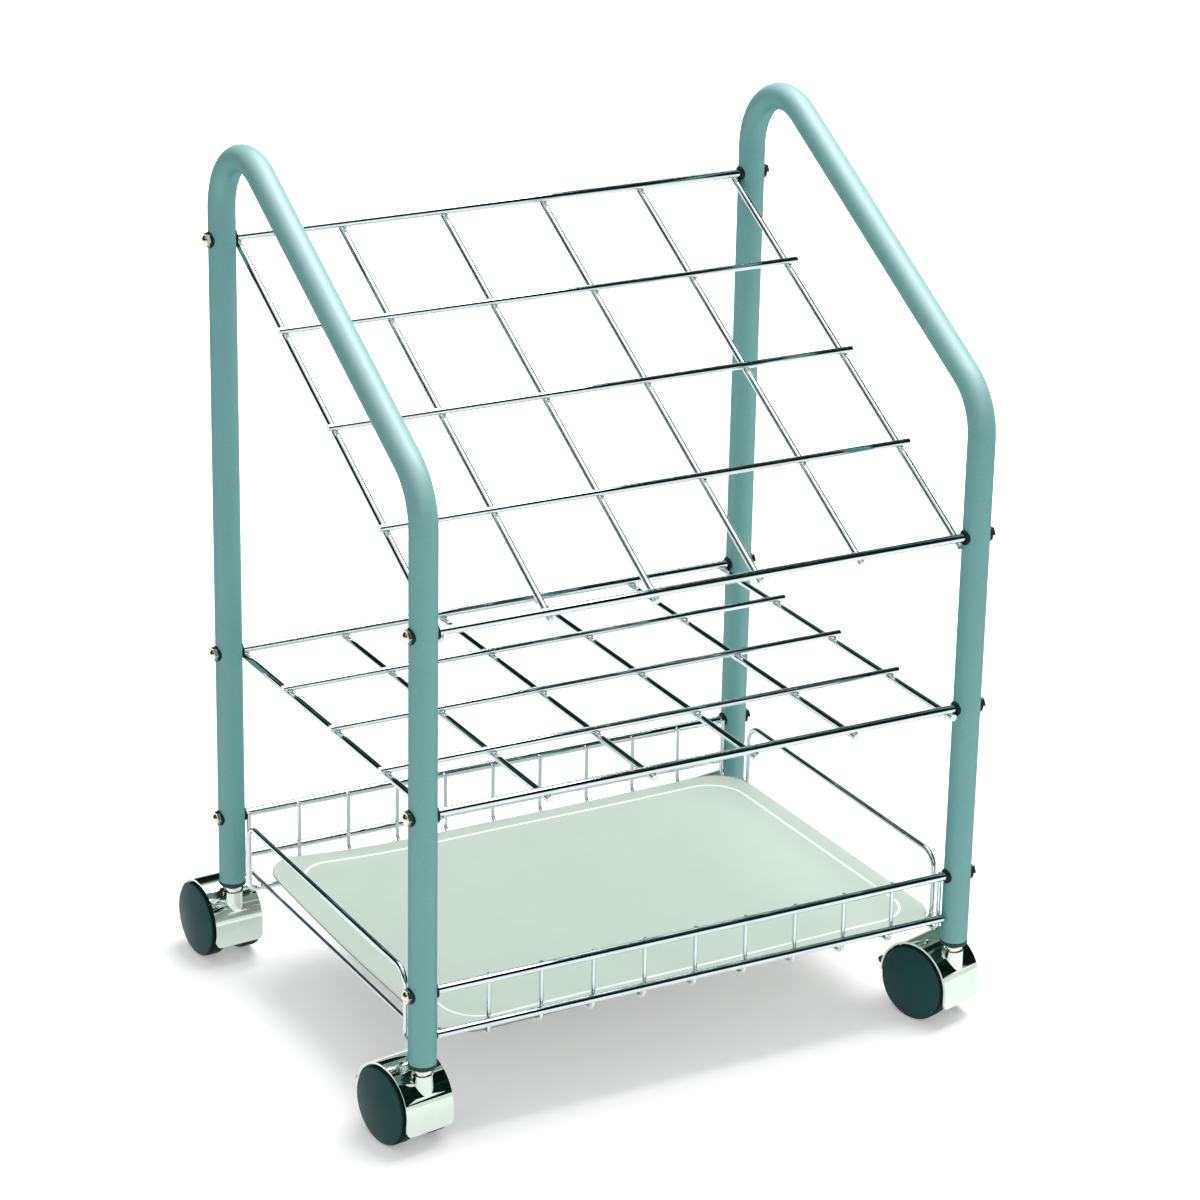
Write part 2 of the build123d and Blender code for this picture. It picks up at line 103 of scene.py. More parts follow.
back = Vector((math.sin(azimuth) * math.cos(elevation),
               -math.cos(azimuth) * math.cos(elevation), math.sin(elevation)))
level = Vector((math.cos(azimuth), math.sin(azimuth), 0))
upright = back.cross(level)
aside = math.cos(roll) * level + math.sin(roll) * upright
above = math.cos(roll) * upright - math.sin(roll) * level
aim = Vector((cart_x, cart_y, aim_height)) + level * aim_aside + upright * aim_above

camera_data = bpy.data.cameras.new("camera")
camera_data.sensor_width, camera_data.lens = sensor_mm, lens_mm
camera_data.clip_start, camera_data.clip_end = nearest, farthest
camera = add_object("camera", camera_data)
camera.matrix_world = Matrix((aside, above, back)).transposed().to_4x4()
camera.location = aim + back * camera_distance
bpy.context.scene.camera = camera
bpy.context.scene.view_settings.view_transform = "Standard"
print("the camera stands at", [round(x, 3) for x in camera.location])

# %% [markdown]
# ## A small kit for finishes
# A finish is a node tree. A few helpers keep the cells below short: one makes a
# material with its Principled shader, one adds a node, sets its inputs and
# wires it, and the rest are nodes that come up again and again. All patterns
# are made of noise on Object coordinates. Each object of the cart sits at the
# origin, so those coordinates are metres in the cart's own frame, and the grain
# has its true scale.

# %% Helpers for nodes
def step(tree, kind, inputs=(), **settings):
    """One node of a tree; an input is a value or an output socket to link."""
    node = tree.nodes.new(kind)
    for key, value in settings.items():
        setattr(node, key, value)
    for socket, value in dict(inputs).items():
        if isinstance(value, bpy.types.NodeSocket):
            tree.links.new(value, node.inputs[socket])
        else:
            node.inputs[socket].default_value = value
    return node


def add_node(material, kind, inputs=(), **settings):
    """One node of a material, or of the world, which has a node tree as well."""
    return step(material.node_tree, kind, inputs, **settings)


def new_finish(name, **sockets):
    """A material and its Principled shader, with the given values on the shader's sockets."""
    material = bpy.data.materials.new(name)
    material.use_nodes = True
    shader = material.node_tree.nodes["Principled BSDF"]
    for socket, value in sockets.items():
        shader.inputs[socket.replace("_", " ")].default_value = value
    return material, shader


def link(material, output, shader, socket):
    material.node_tree.links.new(output, shader.inputs[socket])


print("helpers for nodes ready")

# %% Helpers for patterns and tones
def linear(red, green, blue):
    """A colour read on a screen, 0 to 255, as the linear values that a shader takes."""
    return tuple((v / 12.92 if v <= 0.04045 else ((v + 0.055) / 1.055) ** 2.4)
                 for v in (red / 255, green / 255, blue / 255))


def coordinates(material, kind="Object"):
    return add_node(material, "ShaderNodeTexCoord").outputs[kind]


def upward(material, kind):
    """The Z of the coordinates: a height, or for Normal how far the surface faces up."""
    return add_node(material, "ShaderNodeSeparateXYZ", {0: coordinates(material, kind)}).outputs["Z"]


def object_noise(material, scale, detail):
    """Noise from 0 to 1, with about so many grains to the metre."""
    return add_node(material, "ShaderNodeTexNoise",
                    {"Vector": coordinates(material), "Scale": scale, "Detail": detail}).outputs["Fac"]


def between(material, factor, low, high, start=0.0, end=1.0):
    """A value that runs from low to high while the factor runs from start to end."""
    return add_node(material, "ShaderNodeMapRange",
                    {"Value": factor, "From Min": start, "From Max": end,
                     "To Min": low, "To Max": high}).outputs["Result"]


def maths(material, operation, one, two):
    return add_node(material, "ShaderNodeMath", {0: one, 1: two}, operation=operation).outputs["Value"]


def scaled(material, colour, factor):
    """A colour made lighter or darker by a factor."""
    return add_node(material, "ShaderNodeVectorMath", {0: colour, "Scale": factor},
                    operation="SCALE").outputs["Vector"]


def shade_between(material, factor, dark, light):
    """A colour between two others, each of them three linear values or an output socket."""
    first_colour, second_colour, mixed_colour = 6, 7, 2
    ends = {socket: tone if isinstance(tone, bpy.types.NodeSocket) else (*tone, 1)
            for socket, tone in ((first_colour, dark), (second_colour, light))}
    return add_node(material, "ShaderNodeMix", {0: factor, **ends}, data_type="RGBA").outputs[mixed_colour]


def add_bump(material, shader, height, depth_mm, strength):
    bump = add_node(material, "ShaderNodeBump",
                    {"Height": height, "Distance": depth_mm * MM, "Strength": strength})
    link(material, bump.outputs["Normal"], shader, "Normal")


print("helpers for tones ready; mid grey is", [round(v, 3) for v in linear(128, 128, 128)])

# %% [markdown]
# ## The enamel of the tubes
# The tubes are powder-coated in a cool grey-green with a fine mottle. A powder
# coat isn't quite smooth: it has an orange peel, which spreads each highlight
# wide. Its gloss is dull where the round surface turns away, so Layer Weight
# thins the clear film there. Where it faces up, its colour is painted paler:
# partly a film of fine dust, and partly a painted highlight from above on the
# tops of the sloping tubes.

# %% Enamel
enamel, enamel_shader = new_finish("teal_enamel", Specular_IOR_Level=0.2, Coat_IOR=2.0,
                                   Coat_Roughness=0.58)
drift = object_noise(enamel, scale=9, detail=4)
flake = object_noise(enamel, scale=1100, detail=2)
peel = object_noise(enamel, scale=420, detail=2)
tone = shade_between(enamel, drift, linear(72, 146, 141), linear(84, 158, 153))
sparkle = between(enamel, flake, 0.92, 1.08, start=0.3, end=0.7)
turning_away = add_node(enamel, "ShaderNodeLayerWeight", {"Blend": 0.5}).outputs["Facing"]
film = between(enamel, turning_away, 1.0, 0.0, start=0.28, end=0.8)
# Painted highlight mixed with dust: the colour is painted paler where the surface faces up, lifting the
# tops of the sloping tubes as light from above would.
dust_and_top_highlight = between(enamel, upward(enamel, "Normal"), 0.0, 0.46, start=0.05, end=0.75)
dust_and_highlight_tone = shade_between(enamel, dust_and_top_highlight, scaled(enamel, tone, sparkle), linear(180, 205, 204))
link(enamel, dust_and_highlight_tone, enamel_shader, "Base Color")
link(enamel, film, enamel_shader, "Coat Weight")
link(enamel, between(enamel, peel, 0.46, 0.58), enamel_shader, "Roughness")
add_bump(enamel, enamel_shader, peel, depth_mm=0.02, strength=0.5)
print("enamel made")

# %% [markdown]
# ## Plated finishes
# The wires, the hoods, the nuts and the collars are plated. They differ in tint
# and in how well they were polished before plating: wires keep a faint grain,
# hoods are almost mirrors, and nuts are a warmer nickel.

# %% Chrome, nickel and zinc
def plated(name, dark, light, smooth, rough, grain, depth_mm):
    """A metal between two tints and two roughnesses, with so many grains to the metre."""
    material, shader = new_finish(name, Metallic=1.0)
    haze = object_noise(material, scale=60, detail=3)
    fine = object_noise(material, scale=grain, detail=2)
    link(material, shade_between(material, haze, dark, light), shader, "Base Color")
    link(material, between(material, fine, smooth, rough), shader, "Roughness")
    add_bump(material, shader, fine, depth_mm, strength=0.3)
    return material


wire_chrome = plated("wire_chrome", linear(196, 210, 212), linear(222, 232, 232),
                     smooth=0.04, rough=0.09, grain=900, depth_mm=0.003)
hood_chrome = plated("hood_chrome", linear(204, 218, 208), linear(220, 232, 223),
                     smooth=0.02, rough=0.06, grain=240, depth_mm=0.003)
nickel = plated("nickel", linear(222, 222, 200), linear(242, 242, 224),
                smooth=0.16, rough=0.26, grain=700, depth_mm=0.004)
zinc = plated("yellow_zinc", linear(208, 212, 186), linear(230, 234, 212),
              smooth=0.06, rough=0.14, grain=700, depth_mm=0.005)
print("four plated finishes made")

# %% [markdown]
# ## Plastics
# Moulded plastic is never one flat colour up close. The wheels are a dark slate
# with a satin skin, the washers and sockets are the same family but more matt,
# and the pedals are glossy black. The liner is a pale milky sheet. Its cut edge
# is painted darker than its face, as painted shade on the edge, and its bead is
# painted near-white, as a painted highlight along the rib.

# %% Moulded plastics
def moulded(name, dark, light, smooth, rough, grain, depth_mm, shine=0.4):
    """A plastic between two tones and two roughnesses, with so many grains to the metre."""
    material, shader = new_finish(name, Specular_IOR_Level=shine)
    cloud = object_noise(material, scale=35, detail=3)
    skin = object_noise(material, scale=grain, detail=3)
    link(material, shade_between(material, cloud, dark, light), shader, "Base Color")
    link(material, between(material, skin, smooth, rough), shader, "Roughness")
    add_bump(material, shader, skin, depth_mm, strength=0.4)
    return material


wheel_slate = moulded("wheel_slate", linear(22, 63, 61), linear(31, 75, 72),
                      smooth=0.34, rough=0.46, grain=800, depth_mm=0.01, shine=0.09)
# Painted shade mixed with a dark tyre: the tread is near-black, deepened to stand in for the shade in the
# gap under the hood.
tread_dark_and_painted_shade = moulded("tread_dark_and_painted_shade", linear(12, 28, 26), linear(20, 40, 37),
                      smooth=0.5, rough=0.6, grain=800, depth_mm=0.01, shine=0.04)
socket_slate = moulded("socket_slate", linear(34, 59, 63), linear(46, 73, 77),
                       smooth=0.45, rough=0.6, grain=900, depth_mm=0.015, shine=0.15)
washer_black = moulded("washer_black", linear(20, 36, 37), linear(32, 50, 51),
                       smooth=0.4, rough=0.55, grain=900, depth_mm=0.01, shine=0.1)
pedal_black = moulded("pedal_black", linear(16, 22, 22), linear(26, 34, 34),
                      smooth=0.15, rough=0.28, grain=700, depth_mm=0.008)
liner_skin = moulded("liner_skin", linear(189, 199, 190), linear(193, 203, 194),
                     smooth=0.2, rough=0.3, grain=500, depth_mm=0.008)
# Painted shade: the sheet's cut edge gets a darker tone that stands in for the shade on the edge.
liner_rim_painted_shade = moulded("liner_rim_painted_shade", linear(128, 142, 134), linear(140, 154, 146),
                    smooth=0.3, rough=0.4, grain=500, depth_mm=0.008)
# Painted highlight: the bead is near-white, standing in for the light along the top of the rib.
bead_painted_highlight = moulded("bead_painted_highlight", linear(236, 242, 238), linear(246, 250, 247),
                     smooth=0.35, rough=0.5, grain=500, depth_mm=0.005)
print("eight plastics made")

# %% [markdown]
# ## Dressing the CAD nodes
# Each CAD node keeps its shape and only gets its material. Names tell what a
# node is, so a short table is enough. The first row whose word is in the name
# holds, and the last row takes every node that is left, which are the wires.

# %% Give each node its finish
FINISHES = [
    ("side_frame", enamel),
    ("_wheel", wheel_slate),
    ("brake_pedal", pedal_black),
    ("hood", hood_chrome),
    ("axle", hood_chrome),
    ("brake_pin", hood_chrome),
    ("stem_socket", socket_slate),
    ("washers", washer_black),
    ("caster_stem", zinc),
    ("grip_rings", zinc),
    ("acorn_nuts", nickel),
    ("liner", liner_skin),
    ("", wire_chrome),
]
for name, node in nodes.items():
    finish = next(material for word, material in FINISHES if word in name)
    node.data.materials.clear()
    node.data.materials.append(finish)
print("finishes given to", len(nodes), "nodes")

# %% [markdown]
# ## Growing pieces with Geometry Nodes
# Welds, wires and beads repeat or follow a path, so a node tree makes them. The
# tree has named inputs for its sizes. It is run once on a helper object, and
# the result is kept as a plain mesh without the modifier, because a finished
# piece has to stand by itself.

# %% Helpers for node trees
def new_tree(name, **sizes):
    """A Geometry Nodes tree with named size inputs; returns the tree and its Group Input node."""
    tree = bpy.data.node_groups.new(name, "GeometryNodeTree")
    tree.interface.new_socket("Geometry", in_out="INPUT", socket_type="NodeSocketGeometry")
    tree.interface.new_socket("Geometry", in_out="OUTPUT", socket_type="NodeSocketGeometry")
    for size, kind in sizes.items():
        tree.interface.new_socket(size.replace("_", " "), in_out="INPUT", socket_type="NodeSocket" + kind)
    tree.interface.new_socket("Finish", in_out="INPUT", socket_type="NodeSocketMaterial")
    return tree, tree.nodes.new("NodeGroupInput")


def close_tree(tree, given, geometry):
    """Realize what the tree made, give it the finish and send it out."""
    real = step(tree, "GeometryNodeRealizeInstances", {"Geometry": geometry})
    smooth = step(tree, "GeometryNodeSetShadeSmooth",
                  {"Geometry": real.outputs["Geometry"], "Shade Smooth": True})
    painted = step(tree, "GeometryNodeSetMaterial",
                   {"Geometry": smooth.outputs["Geometry"], "Material": given.outputs["Finish"]})
    step(tree, "NodeGroupOutput", {"Geometry": painted.outputs["Geometry"]})


def bare_mesh(name, points, edges=(), faces=()):
    mesh = bpy.data.meshes.new(name)
    mesh.from_pydata(points, edges, faces)
    return mesh


def grow(name, tree, values, start):
    """Run the tree on a start mesh and keep the result as a plain mesh."""
    grown = add_object(name, start)
    modifier = grown.modifiers.new("tree", "NODES")
    modifier.node_group = tree
    for item in tree.interface.items_tree:
        if item.in_out == "INPUT" and item.name in values:
            modifier[item.identifier] = values[item.name]
    evaluated = grown.evaluated_get(bpy.context.evaluated_depsgraph_get())
    mesh = bpy.data.meshes.new_from_object(evaluated)
    grown.modifiers.clear()
    grown.data = mesh
    print(name, "has", len(mesh.polygons), "faces")
    return grown


print("helpers for node trees ready")

# %% [markdown]
# ## One tree for everything that is bent
# The side frames and the basket's wires are all the same thing to a maker: a
# straight length that is bent round a pin. So one tree serves them all. It
# starts from a bare route of straight runs, rounds its corners, sweeps a circle
# along it and repeats it in a row. The CAD bends have few facets to stay light,
# and here they can be as fine as the picture needs.

# %% The bending tree
bending, given = new_tree("bend_and_repeat", Bend="Float", Steps="Int", Radius="Float", Sides="Int",
                          Count="Int", Pitch="Float")
size = given.outputs
route = step(bending, "GeometryNodeMeshToCurve", {"Mesh": size["Geometry"]})
rounded = step(bending, "GeometryNodeFilletCurve",
               {"Curve": route.outputs[0], "Radius": size["Bend"], "Count": size["Steps"]}, mode="POLY")
ring = step(bending, "GeometryNodeCurvePrimitiveCircle",
            {"Resolution": size["Sides"], "Radius": size["Radius"]})
bar = step(bending, "GeometryNodeCurveToMesh",
           {"Curve": rounded.outputs[0], "Profile Curve": ring.outputs[0], "Fill Caps": True})
stride = step(bending, "ShaderNodeCombineXYZ", {"X": size["Pitch"]})
row = step(bending, "GeometryNodeMeshLine", {"Count": size["Count"], "Offset": stride.outputs[0]})
repeated = step(bending, "GeometryNodeInstanceOnPoints",
                {"Points": row.outputs[0], "Instance": bar.outputs[0]})
close_tree(bending, given, repeated.outputs[0])


def bend(name, corner_points, bend_radius, radius, finish, steps=6, sides=12, count=1, pitch=0.0):
    """A round bar along straight runs between the given points, bent at the inner ones."""
    runs = [(i, i + 1) for i in range(len(corner_points) - 1)]
    return grow(name, bending, {"Bend": bend_radius, "Steps": steps, "Radius": radius, "Sides": sides,
                                "Count": count, "Pitch": pitch, "Finish": finish},
                bare_mesh(name + "_route", corner_points, runs))


print("the bending tree has", len(bending.nodes), "nodes")

# %% [markdown]
# ## Side frames
# Each side frame is one tube. It goes up from the rear caster, over a tight bend
# at the top, down a slope, over a second bend and down to the front caster. The
# route has four points. Its two inner corners lie outside the tube, where the
# straight runs would meet if there were no bend.

# %% Bend the two tubes
tube_bend, slope = 45 * MM, math.radians(30)
for side in ("left", "right"):
    low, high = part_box(side + "_side_frame")
    tube_radius = (high.x - low.x) / 2
    x = (low.x + high.x) / 2
    rear_y, front_y = high.y - tube_radius, low.y + tube_radius
    rear_top = high.z - tube_radius - tube_bend
    rear_top += tube_bend * (1 + math.sin(slope)) / math.cos(slope)
    front_top = rear_top - (rear_y - front_y) * math.tan(slope)
    tube_route = [(x, rear_y, low.z), (x, rear_y, rear_top), (x, front_y, front_top), (x, front_y, low.z)]
    tube = bend(side + "_tube", tube_route, tube_bend, tube_radius, enamel, steps=20, sides=48)
    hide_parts(side + "_side_frame")
    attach(tube, "frame")

# %% [markdown]
# ## U wires of the basket
# Eleven thin wires hang from the front rim, run under the liner and rise at the
# back. In the CAD file each bend is one short slant. A real wire is bent round a
# pin, so the corner is an arc of about 6 mm. The cut ends stop a little lower
# than in the CAD file, so that they don't stand up behind the rim.

# %% Bend the U wires
u_count, u_radius, u_bend = 11, 1.5 * MM, 6 * MM
u_shortening = 2.2 * MM
low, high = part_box("basket_u_wires")
u_first = low.x + u_radius
u_pitch = (high.x - low.x - 2 * u_radius) / (u_count - 1)
front_y, rear_y, floor_z = low.y + u_radius, high.y - u_radius, low.z + u_radius
u_top = high.z - u_shortening
u_route = [(u_first, front_y, u_top), (u_first, front_y, floor_z),
           (u_first, rear_y, floor_z), (u_first, rear_y, u_top)]
u_wires = bend("u_wires", u_route, u_bend, u_radius, wire_chrome, count=u_count, pitch=u_pitch)
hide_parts("basket_u_wires")
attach(u_wires, "frame")

# %% [markdown]
# ## Weld nuggets
# Crossing wires are joined by resistance welding: they are pressed together and
# a current melts the spot where they touch, so a little metal squeezes out all
# round. Each crossing gets one flattened bead. They are never quite equal, so
# the tree varies their size with a fixed seed.

# %% The welding tree
welding, given = new_tree("weld_nuggets", Radius="Float", Flatness="Float", Tilt="Float")
size = given.outputs
nugget = step(welding, "GeometryNodeMeshIcoSphere", {"Radius": size["Radius"], "Subdivisions": 2})
vary = step(welding, "FunctionNodeRandomValue", {"Min": 0.82, "Max": 1.12, "Seed": 7}, data_type="FLOAT")
flat = step(welding, "ShaderNodeMath", {0: vary.outputs[1], 1: size["Flatness"]}, operation="MULTIPLY")
squash_of_nugget = step(welding, "ShaderNodeCombineXYZ",
                        {"X": vary.outputs[1], "Y": vary.outputs[1], "Z": flat.outputs[0]})
lean = step(welding, "ShaderNodeCombineXYZ", {"X": size["Tilt"]})
welded = step(welding, "GeometryNodeInstanceOnPoints",
              {"Points": size["Geometry"], "Instance": nugget.outputs[0],
               "Scale": squash_of_nugget.outputs[0], "Rotation": lean.outputs[0]})
close_tree(welding, given, welded.outputs[0])


def weld(name, places, radius_mm, flatness, tilt):
    """Nuggets at the given places, lying in a plane tilted about X."""
    piece = grow(name, welding, {"Radius": radius_mm * MM, "Flatness": flatness, "Tilt": tilt,
                                 "Finish": wire_chrome}, bare_mesh(name, places))
    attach(piece, "frame")


print("the welding tree has", len(welding.nodes), "nodes")

# %% Weld the shelves and the basket
tie_rod_radius, cross_wire_radius = 3 * MM, 2.4 * MM
cross_wire_count, welds_on_each = 6, 5
weld_below_rod = 2.9 * MM
for shelf in ("upper_shelf", "middle_shelf"):
    low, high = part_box(shelf + "_tie_rods")
    front = Vector((0, low.y + tie_rod_radius, low.z + tie_rod_radius))
    rear = Vector((0, high.y - tie_rod_radius, high.z - tie_rod_radius))
    lean_angle = math.atan2(rear.z - front.z, rear.y - front.y)
    below = Vector((0, math.sin(lean_angle), -math.cos(lean_angle))) * weld_below_rod
    wires_low, wires_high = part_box(shelf + "_cross_wires")
    wire_pitch = (wires_high.x - wires_low.x - 2 * cross_wire_radius) / (cross_wire_count - 1)
    places = []
    for i in range(cross_wire_count):
        x = wires_low.x + cross_wire_radius + i * wire_pitch
        for j in range(welds_on_each):
            spot = front.lerp(rear, j / (welds_on_each - 1)) + below
            places.append((x, spot.y, spot.z))
    weld(shelf + "_welds", places, radius_mm=3.0, flatness=0.32, tilt=lean_angle)

low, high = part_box("basket_u_wires")
rod_heights = (middle("basket_tie_rods").z, middle("basket_lower_rods").z)
places = [(u_first + i * u_pitch, y, z)
          for i in range(u_count) for y in (low.y, high.y) for z in rod_heights]
weld("basket_welds", places, radius_mm=2.1, flatness=0.38, tilt=math.radians(90))

# %% [markdown]
# ## The liner
# The liner is a thin, slightly warped plastic sheet with a fine raised bead near
# its edge. It lies loose in the basket, so it has slid and turned a little, and
# its rear left corner curls up. It reaches a little nearer to the guards than
# the CAD sheet does. The sheet is made of rings that follow its rounded outline
# inwards, and a function gives the height at each point, so the bead can follow
# the same warp.

# %% The liner's outline and warp
sheet_thickness, sheet_corner, smallest_corner = 1.5 * MM, 30 * MM, 0.2 * MM
wider_each_side, slid_left = 2.2 * MM, 0.5 * MM
sheet_turn = math.radians(1.1)
curl_height, curl_from = 9 * MM, 0.52
toward_left, toward_rear = 0.62, 0.38
ripple_height, ripple_across, ripple_deep = 0.25 * MM, 31, 17
low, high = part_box("liner")
sheet_bottom = low.z
half_width, half_depth = (high.x - low.x) / 2 + wider_each_side, (high.y - low.y) / 2
sheet_middle = Vector(((low.x + high.x) / 2 - slid_left, (low.y + high.y) / 2))


def outline_ring(inset, corner, per_corner=10, per_side=14, more_at_ends=0.0, aside=0.0):
    """Points of a rounded rectangle, counter-clockwise, as (x, y) about the sheet's middle."""
    corner = max(corner, smallest_corner)
    reach_x, reach_y = half_width - inset - more_at_ends - corner, half_depth - inset - corner
    quarters = ((1, 1), (-1, 1), (-1, -1), (1, -1))
    centres = [Vector((aside + x * reach_x, y * reach_y)) for x, y in quarters]
    ring = []
    for quarter, centre in enumerate(centres):
        for i in range(per_corner + 1):
            angle = math.radians(90) * (quarter + i / per_corner)
            ring.append(centre + corner * Vector((math.cos(angle), math.sin(angle))))
        ahead = centres[(quarter + 1) % 4] + corner * Vector((math.cos(angle), math.sin(angle)))
        ring += [ring[-1].lerp(ahead, i / per_side) for i in range(1, per_side)]
    return ring


def lie(point):
    """Where a point of the flat sheet lies in the basket."""
    curl = (-point.x / half_width) * toward_left + (point.y / half_depth) * toward_rear
    lift = curl_height * min(1, max(0, (curl - curl_from) / (1 - curl_from))) ** 2
    ripple = ripple_height * (1 + math.sin(point.x * ripple_across + point.y * ripple_deep))
    turned = Vector((point.x * math.cos(sheet_turn) - point.y * math.sin(sheet_turn),
                     point.x * math.sin(sheet_turn) + point.y * math.cos(sheet_turn))) + sheet_middle
    return Vector((turned.x, turned.y, sheet_bottom + lift + ripple))


print("the liner is", round(2 * half_width / MM), "by", round(2 * half_depth / MM), "mm")

# %% [markdown]
# The rings lie closer together near the edge, where the outline turns and the
# corner curls. Solidify then gives the sheet a wall, whose rim takes the second
# finish, a darker tone painted as shade on the edge, and a small bevel breaks
# the cut edge.

# %% Make the sheet
def keep_shape(shape, name, *finishes, sharp_angle=None):
    """Turn an edited shape into an object with smooth shading and the given finishes."""
    mesh = bpy.data.meshes.new(name)
    shape.to_mesh(mesh)
    shape.free()
    for polygon in mesh.polygons:
        polygon.use_smooth = True
    if sharp_angle:
        mesh.set_sharp_from_angle(angle=sharp_angle)
    for finish in finishes:
        mesh.materials.append(finish)
    return add_object(name, mesh)


last_inset = half_depth / MM - 0.4
insets = [0, 2, 5, 9, 14, 20, 28, 40, 55, 72, 90, 108, 124, 136, last_inset]
rings = [outline_ring(d * MM, sheet_corner - min(d * MM, sheet_corner)) for d in insets]
shape = bmesh.new()
loops = [[shape.verts.new(lie(point)) for point in ring] for ring in rings]
for outer, inner in zip(loops, loops[1:]):
    for i in range(len(outer)):
        j = (i + 1) % len(outer)
        shape.faces.new((outer[i], outer[j], inner[j], inner[i]))
shape.faces.new(loops[-1])
bmesh.ops.remove_doubles(shape, verts=shape.verts, dist=0.01 * MM)
bmesh.ops.recalc_face_normals(shape, faces=shape.faces)
if sum(face.normal.z for face in shape.faces) < 0:
    bmesh.ops.reverse_faces(shape, faces=shape.faces)
liner_sheet = keep_shape(shape, "liner_sheet", liner_skin, liner_rim_painted_shade)
wall = liner_sheet.modifiers.new("wall", "SOLIDIFY")
wall.thickness, wall.offset, wall.material_offset_rim = sheet_thickness, 1, 1
edge = liner_sheet.modifiers.new("edge", "BEVEL")
edge.width, edge.segments = 0.5 * MM, 2
edge.limit_method, edge.angle_limit = "ANGLE", math.radians(50)
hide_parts("liner")
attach(liner_sheet, "frame")
print("liner sheet:", len(liner_sheet.data.polygons), "faces")

# %% [markdown]
# The bead is a low round rib. A curve with a small circle swept along it does
# this: the circle sinks into the sheet and only its top stands proud. The bead
# lies a little further from the sheet's ends than from its long sides, and a
# little to the right of the middle.

# %% Grow the bead
bead_inset, bead_corner, bead_radius = 14.3 * MM, 27.7 * MM, 1.25 * MM
bead_below_face, bead_from_ends, bead_aside = 0.75 * MM, 2.9 * MM, 2.3 * MM
beading, given = new_tree("bead_on_sheet", Half_Width="Float")
path = step(beading, "GeometryNodeMeshToCurve", {"Mesh": given.outputs["Geometry"]})
section = step(beading, "GeometryNodeCurvePrimitiveCircle",
               {"Resolution": 10, "Radius": given.outputs["Half Width"]})
rib = step(beading, "GeometryNodeCurveToMesh",
           {"Curve": path.outputs[0], "Profile Curve": section.outputs[0]})
close_tree(beading, given, rib.outputs[0])
bead_line = outline_ring(bead_inset, bead_corner, per_corner=16, per_side=30,
                         more_at_ends=bead_from_ends, aside=bead_aside)
bead_path = [lie(point) + Vector((0, 0, sheet_thickness - bead_below_face)) for point in bead_line]
bead_edges = [(i, (i + 1) % len(bead_path)) for i in range(len(bead_path))]
bead_rib = grow("liner_bead", beading, {"Half Width": bead_radius, "Finish": bead_painted_highlight},
                bare_mesh("bead_path", bead_path, bead_edges))
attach(bead_rib, "frame")

# %% [markdown]
# ## Wheels
# A caster wheel is a body of revolution: a soft tread, a rounded shoulder and a
# shallow dome on the outside. Such a shape is turned on a lathe, in Blender as
# in the workshop. Each wheel is turned round its own axle, whose direction
# comes from the caster's swivel. A fine groove runs round the tread, which is a
# darker ring of its own: a dark tyre, made darker still as painted shade for the
# gap under the hood. A profile is a list of points in millimetres: how far
# along the axle from the caster's middle, and how far out from it.

# %% A wheel's profile
wheel_inner, wheel_edge, wheel_apex, shoulder = 7.6, 20.9, 24.1, 2.6
bore_end, bore_radius = 16.1, 3.08
groove_walls, groove_floor, groove_depth = (17.6, 18.15), (17.75, 18.0), 0.3
dome_rings = (1, 0.93, 0.85, 0.75, 0.62, 0.48, 0.34, 0.2, 0.08, 0)


def arc(along, out, reach, rise, degrees):
    """Profile points of an arc about a centre, counted from the axle's direction outwards."""
    return [(along + reach * math.cos(a), out + rise * math.sin(a)) for a in map(math.radians, degrees)]


def wheel_profile(outer):
    """The profile from the blind bore round the tread to the middle of the dome."""
    centre_out = outer - shoulder
    points = [(bore_end, 0), (bore_end, bore_radius), (wheel_inner, bore_radius), (wheel_inner, centre_out)]
    points += arc(wheel_inner + shoulder, centre_out, shoulder, shoulder, (157.5, 135, 112.5, 90))
    points += [(groove_walls[0], outer), (groove_floor[0], outer - groove_depth),
               (groove_floor[1], outer - groove_depth), (groove_walls[1], outer)]
    points += arc(wheel_edge - shoulder, centre_out, shoulder, shoulder, (75, 60, 45, 30, 15))
    bulge = wheel_apex - wheel_edge
    dome = (centre_out ** 2 + bulge ** 2) / (2 * bulge)
    radii = [centre_out * share for share in dome_rings]
    return points + [(wheel_apex - dome + math.sqrt(dome ** 2 - r ** 2), r) for r in radii]


print("a wheel's profile has", len(wheel_profile(outer=25)), "points")

# %% [markdown]
# The lathe sets a ring of points for each point of the profile and joins each
# ring to the next. A profile point on the axle itself gives one point and no
# ring, so the ends close in a fan.

# %% Turn the wheels
def turn_on_lathe(name, profile, centre, axle, *finishes, sides=72):
    """Turn a profile that starts and ends on the axle into a closed mesh."""
    across = axle.orthogonal().normalized()
    second = axle.cross(across)
    shape = bmesh.new()
    rings = []
    for along, out in profile:
        angles = [2 * math.pi * i / sides for i in range(sides)] if out else [0]
        ways = [math.cos(a) * across + math.sin(a) * second for a in angles]
        rings.append([shape.verts.new(centre + axle * (along * MM) + out * MM * way) for way in ways])
    for one, two in zip(rings, rings[1:]):
        for i in range(sides):
            j = (i + 1) % sides
            corners = [one[i % len(one)], one[j % len(one)], two[j % len(two)], two[i % len(two)]]
            shape.faces.new([v for k, v in enumerate(corners) if v not in corners[:k]])
    bmesh.ops.recalc_face_normals(shape, faces=shape.faces)
    return keep_shape(shape, name, *finishes, sharp_angle=math.radians(50))


